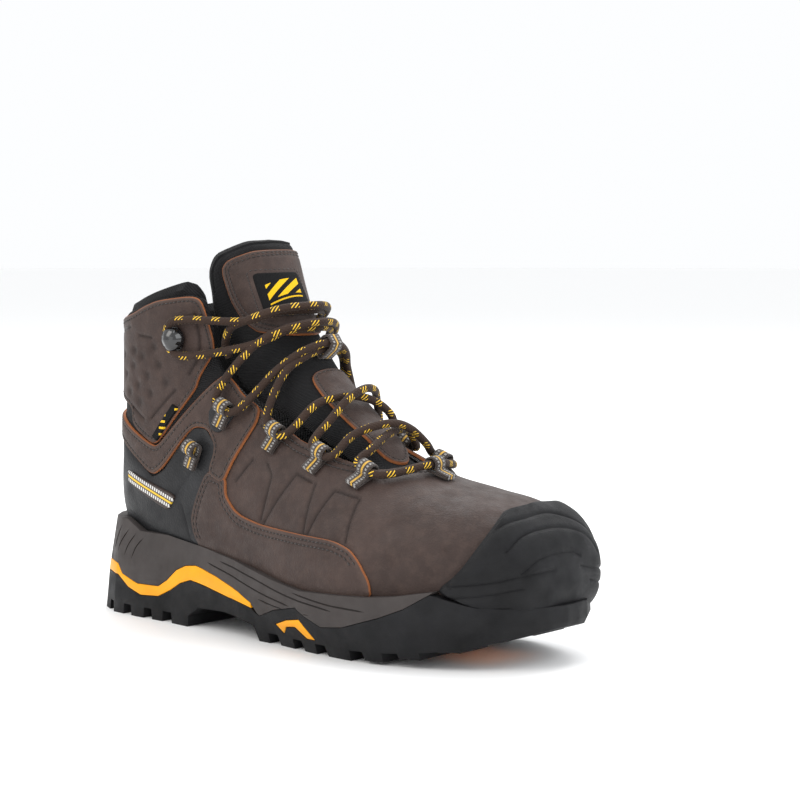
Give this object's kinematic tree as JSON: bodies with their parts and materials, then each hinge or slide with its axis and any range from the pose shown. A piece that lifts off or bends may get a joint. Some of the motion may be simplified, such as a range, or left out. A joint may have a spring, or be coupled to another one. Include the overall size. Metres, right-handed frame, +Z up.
{
  "type": "steel toe work boot",
  "caption": "Ankle-high laced safety boot for the right foot: leather upper over a steel toe cap, padded collar and tongue, rubber bumper and lugged sole.",
  "frame": {"origin": "middle of the boot's box, on the ground that the sole stands on", "axes": "+X towards the toe, -Y towards the outer (lateral) side of this right boot, +Z up"},
  "size_m": [0.299, 0.1172, 0.2],
  "materials": {
    "leather_brown": "oiled pull-up leather, matte with lighter rubbed patches",
    "textile_black": "coarse woven nylon over foam",
    "synthetic_grey": "coated synthetic leather, fine pebble grain",
    "cap_steel": "plain formed steel",
    "rubber_black": "moulded rubber, fine sandy texture",
    "midsole_taupe": "moulded foam, satin skin",
    "band_yellow": "moulded, satin",
    "inlay_orange": "moulded, satin",
    "stiffener_board": "fibre board",
    "lining_fabric": "knitted mesh lining",
    "footbed_foam": "foam faced with knit",
    "label_woven": "woven label, black with yellow figures",
    "reflective_tape": "silver tape with yellow centre line",
    "webbing_brown": "woven webbing, brown with yellow and silver lines",
    "lace_cord": "round braided polyester, brown with yellow flecks",
    "hook_black": "gloss black coated metal"
  },
  "bodies": {
    "root": {"vamp": "leather_brown", "ankle_textile": "textile_black", "steel_toe_cap": "cap_steel", "toe_cap_edging": "rubber_black", "heel_counter": "stiffener_board", "collar_padding": "textile_black", "lining": "lining_fabric", "heel_panel": "synthetic_grey", "side_label": "label_woven", "midsole": "midsole_taupe", "shank": "cap_steel", "heel_band": "band_yellow", "outsole": "rubber_black", "tread_inlay": "inlay_orange", "toe_bumper": "rubber_black", "insole_board": "stiffener_board", "throat_loop": "webbing_brown", "lace": "lace_cord", "strap_lateral": "leather_brown", "foxing_lateral": "leather_brown", "collar_panel_lateral": "leather_brown", "reflective_strip_lateral": "reflective_tape", "loop_frame_lateral": "synthetic_grey", "fore_plug_lateral": "band_yellow", "lace_hook_lateral": "hook_black", "lace_loop_1_lateral": "webbing_brown", "lace_loop_2_lateral": "webbing_brown", "lace_loop_3_lateral": "webbing_brown", "lace_loop_4_lateral": "webbing_brown", "lace_loop_5_lateral": "webbing_brown", "strap_medial": "leather_brown", "foxing_medial": "leather_brown", "collar_panel_medial": "leather_brown", "reflective_strip_medial": "reflective_tape", "loop_frame_medial": "synthetic_grey", "fore_plug_medial": "band_yellow", "lace_hook_medial": "hook_black", "lace_loop_1_medial": "webbing_brown", "lace_loop_2_medial": "webbing_brown", "lace_loop_3_medial": "webbing_brown", "lace_loop_4_medial": "webbing_brown", "lace_loop_5_medial": "webbing_brown"},
    "tongue": {"tongue": "textile_black", "tongue_patch": "leather_brown", "tongue_strip": "leather_brown", "tongue_label": "label_woven", "tongue_loop": "webbing_brown"},
    "footbed": {"footbed": "footbed_foam"}
  },
  "joints": [
    {"name": "tongue_swing", "type": "hinge", "parent": "root", "child": "tongue", "pos_m": [0.068, 0.0029, 0.08], "axis": [0, 1, 0], "range_deg": [-8, 0], "stiffness_Nm_per_rad": 3, "springref_deg": 1.15, "deforming": ["lace"]},
    {"name": "footbed_lift", "type": "hinge", "parent": "root", "child": "footbed", "pos_m": [0.137, 0.0029, 0.037], "axis": [0, 1, 0], "range_deg": [0, 6]}
  ]
}
